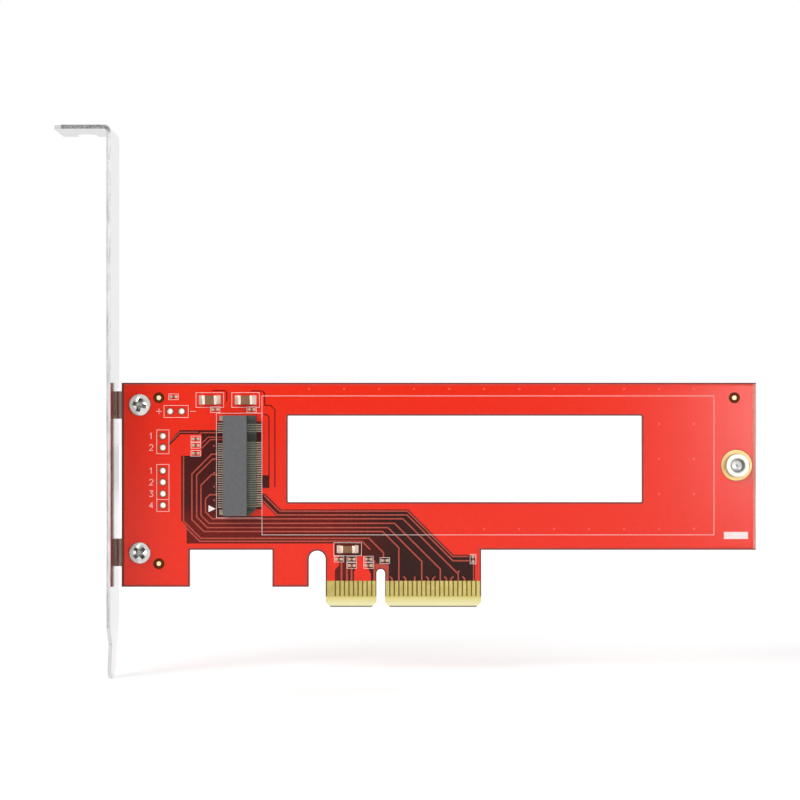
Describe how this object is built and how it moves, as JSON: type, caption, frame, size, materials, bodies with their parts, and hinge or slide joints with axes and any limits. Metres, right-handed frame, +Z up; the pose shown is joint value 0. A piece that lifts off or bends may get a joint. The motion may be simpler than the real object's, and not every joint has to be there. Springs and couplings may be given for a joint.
{
  "type": "interface card",
  "caption": "Red expansion card with a keyed card edge, a full-height steel bracket and a window, and a socket and standoff that take a plug-in storage module.",
  "frame": {"origin": "bottom of the card edge on the centre line of its key notch, in the middle of the board's thickness", "axes": "+X along the board away from the bracket, +Z up out of the slot, -Y out of the component side"},
  "size_m": [0.1532, 0.0184, 0.12],
  "materials": {
    "solder_mask": "glossy red solder mask on laminate",
    "gold": "satin gold plating",
    "bracket_steel": "bright zinc-plated sheet",
    "screw_steel": "plated",
    "standoff_metal": "turned",
    "housing": "fine matt",
    "tinned_contact": "tinned",
    "end_cap": "tinned",
    "capacitor_ceramic": "satin",
    "resistor_ceramic": "satin"
  },
  "bodies": {
    "root": {"bracket": "bracket_steel", "bracket_screws": "screw_steel", "bulk_capacitor_1": "capacitor_ceramic", "bulk_capacitor_1_end_caps": "end_cap", "bulk_capacitor_2": "capacitor_ceramic", "bulk_capacitor_2_end_caps": "end_cap", "bulk_capacitor_3": "capacitor_ceramic", "bulk_capacitor_3_end_caps": "end_cap", "circuit_board": "solder_mask", "edge_capacitor_1": "capacitor_ceramic", "edge_capacitor_1_end_caps": "end_cap", "edge_capacitor_2": "capacitor_ceramic", "edge_capacitor_2_end_caps": "end_cap", "edge_capacitor_3": "capacitor_ceramic", "edge_capacitor_3_end_caps": "end_cap", "edge_capacitor_4": "capacitor_ceramic", "edge_capacitor_4_end_caps": "end_cap", "edge_capacitor_5": "capacitor_ceramic", "edge_capacitor_5_end_caps": "end_cap", "edge_capacitor_6": "capacitor_ceramic", "edge_capacitor_6_end_caps": "end_cap", "edge_contacts_back": "gold", "edge_contacts_front": "gold", "edge_resistor": "resistor_ceramic", "edge_resistor_end_caps": "end_cap", "fiducials": "gold", "four_way_header_lands": "gold", "led_header_lands": "gold", "led_resistor": "resistor_ceramic", "led_resistor_end_caps": "end_cap", "module_standoff": "standoff_metal", "signal_resistor_1": "resistor_ceramic", "signal_resistor_1_end_caps": "end_cap", "signal_resistor_2": "resistor_ceramic", "signal_resistor_2_end_caps": "end_cap", "signal_resistor_3": "resistor_ceramic", "signal_resistor_3_end_caps": "end_cap", "socket_capacitor_1": "capacitor_ceramic", "socket_capacitor_1_end_caps": "end_cap", "socket_capacitor_2": "capacitor_ceramic", "socket_capacitor_2_end_caps": "end_cap", "socket_contacts_lower": "tinned_contact", "socket_contacts_upper": "tinned_contact", "socket_hold_downs": "tinned_contact", "socket_housing": "housing", "standoff_land": "gold", "two_way_header_lands": "gold"}
  },
  "joints": []
}
